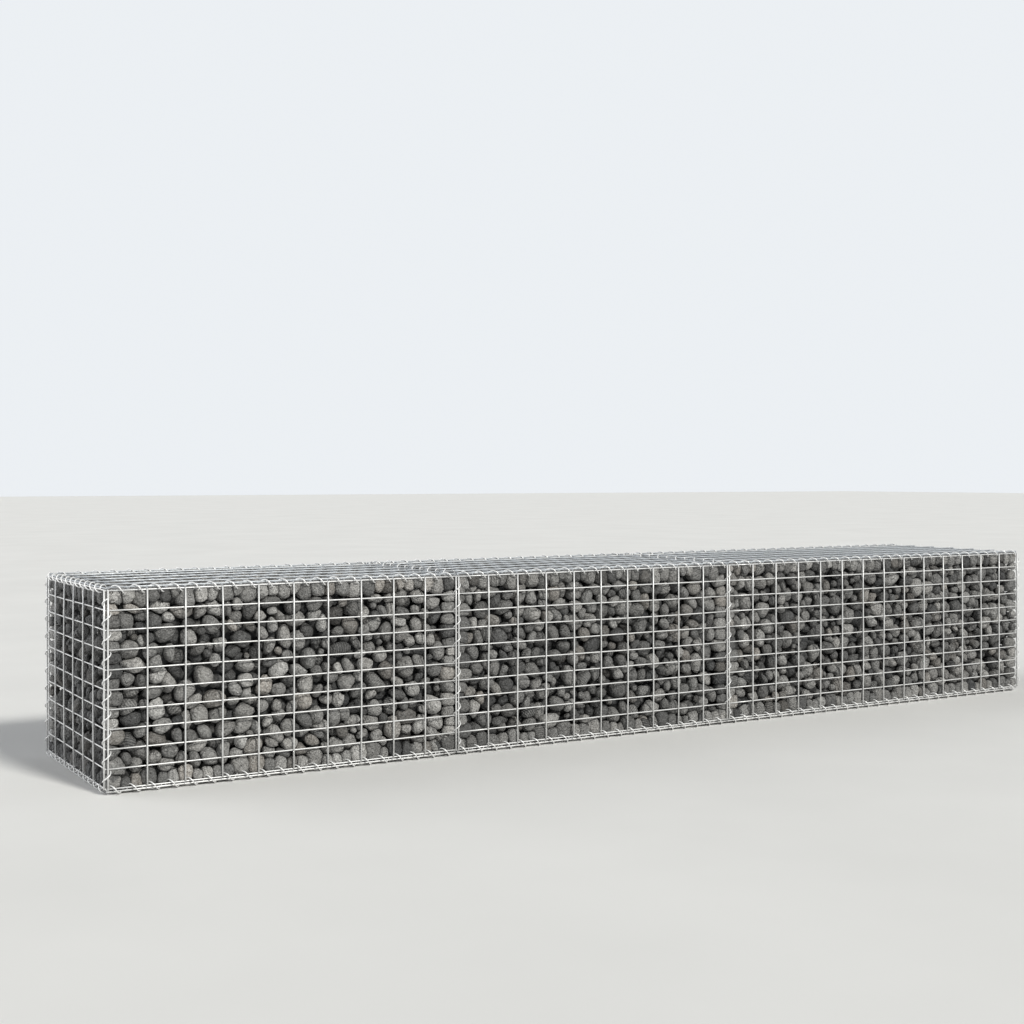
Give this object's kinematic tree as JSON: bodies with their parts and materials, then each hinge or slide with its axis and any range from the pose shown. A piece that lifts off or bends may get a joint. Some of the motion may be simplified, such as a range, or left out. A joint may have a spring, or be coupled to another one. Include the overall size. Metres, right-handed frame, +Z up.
{
  "type": "gabion wall",
  "caption": "Low free-standing gabion wall: welded wire mesh baskets in a row, laced with wire spirals, closed with lids and filled with dark stone.",
  "frame": {"origin": "on the ground under the middle of the wall, at the level of the lowest spirals", "axes": "X along the wall, -Y the front, +Z up; the left end panel of the picture is at -X"},
  "size_m": [3.4464, 0.6332, 0.5331],
  "materials": {
    "mesh_wire": "bright galvanised, slightly matt",
    "spiral_wire": "bright galvanised",
    "stone": "broken and worn dark grey stone, rough"
  },
  "bodies": {
    "root": {"front_panel_1": "mesh_wire", "front_panel_2": "mesh_wire", "front_panel_3": "mesh_wire", "back_panel_1": "mesh_wire", "back_panel_2": "mesh_wire", "back_panel_3": "mesh_wire", "left_end_panel": "mesh_wire", "right_end_panel": "mesh_wire", "divider_1": "mesh_wire", "divider_2": "mesh_wire", "lid_1": "mesh_wire", "lid_2": "mesh_wire", "lid_3": "mesh_wire", "base_panel_1": "mesh_wire", "base_panel_2": "mesh_wire", "base_panel_3": "mesh_wire", "stone_fill_1": "stone", "stone_fill_2": "stone", "stone_fill_3": "stone", "back_joint_spiral_1": "spiral_wire", "back_joint_spiral_2": "spiral_wire", "bottom_back_spiral_1": "spiral_wire", "bottom_back_spiral_2": "spiral_wire", "bottom_back_spiral_3": "spiral_wire", "bottom_front_spiral_1": "spiral_wire", "bottom_front_spiral_2": "spiral_wire", "bottom_front_spiral_3": "spiral_wire", "divider_spirals_1": "spiral_wire", "divider_spirals_2": "spiral_wire", "front_joint_spiral_1": "spiral_wire", "front_joint_spiral_2": "spiral_wire", "left_end_back_spiral": "spiral_wire", "left_end_bottom_spiral": "spiral_wire", "left_end_front_spiral": "spiral_wire", "left_end_top_spiral": "spiral_wire", "right_end_back_spiral": "spiral_wire", "right_end_bottom_spiral": "spiral_wire", "right_end_front_spiral": "spiral_wire", "right_end_top_spiral": "spiral_wire", "top_back_spiral_1": "spiral_wire", "top_back_spiral_2": "spiral_wire", "top_back_spiral_3": "spiral_wire", "top_front_spiral_1": "spiral_wire", "top_front_spiral_2": "spiral_wire", "top_front_spiral_3": "spiral_wire"}
  },
  "joints": []
}
